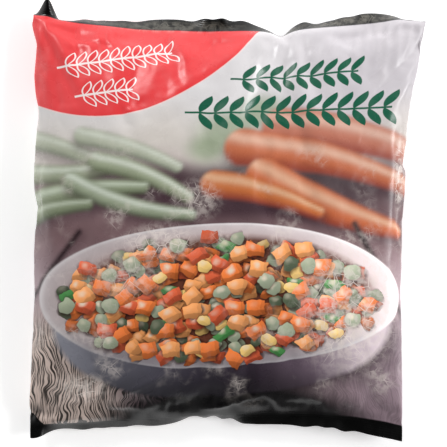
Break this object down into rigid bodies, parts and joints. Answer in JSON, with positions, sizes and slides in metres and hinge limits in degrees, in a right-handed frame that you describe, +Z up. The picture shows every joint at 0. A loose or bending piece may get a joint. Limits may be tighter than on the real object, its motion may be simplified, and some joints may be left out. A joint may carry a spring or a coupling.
{
  "type": "frozen vegetable bag",
  "caption": "Sealed pillow bag of printed film filled with frozen mixed vegetables, lying on its back with both end seals showing.",
  "frame": {"origin": "on the surface that the bag lies on, under the middle of its box", "axes": "+Z up out of the printed front, +Y from the bottom seal to the top seal, +X to the right of the front"},
  "size_m": [0.2614, 0.2868, 0.0458],
  "materials": {
    "printed_film": "printed polythene film, satin gloss, finely creased"
  },
  "bodies": {
    "root": {"bag": "printed_film"}
  },
  "joints": []
}
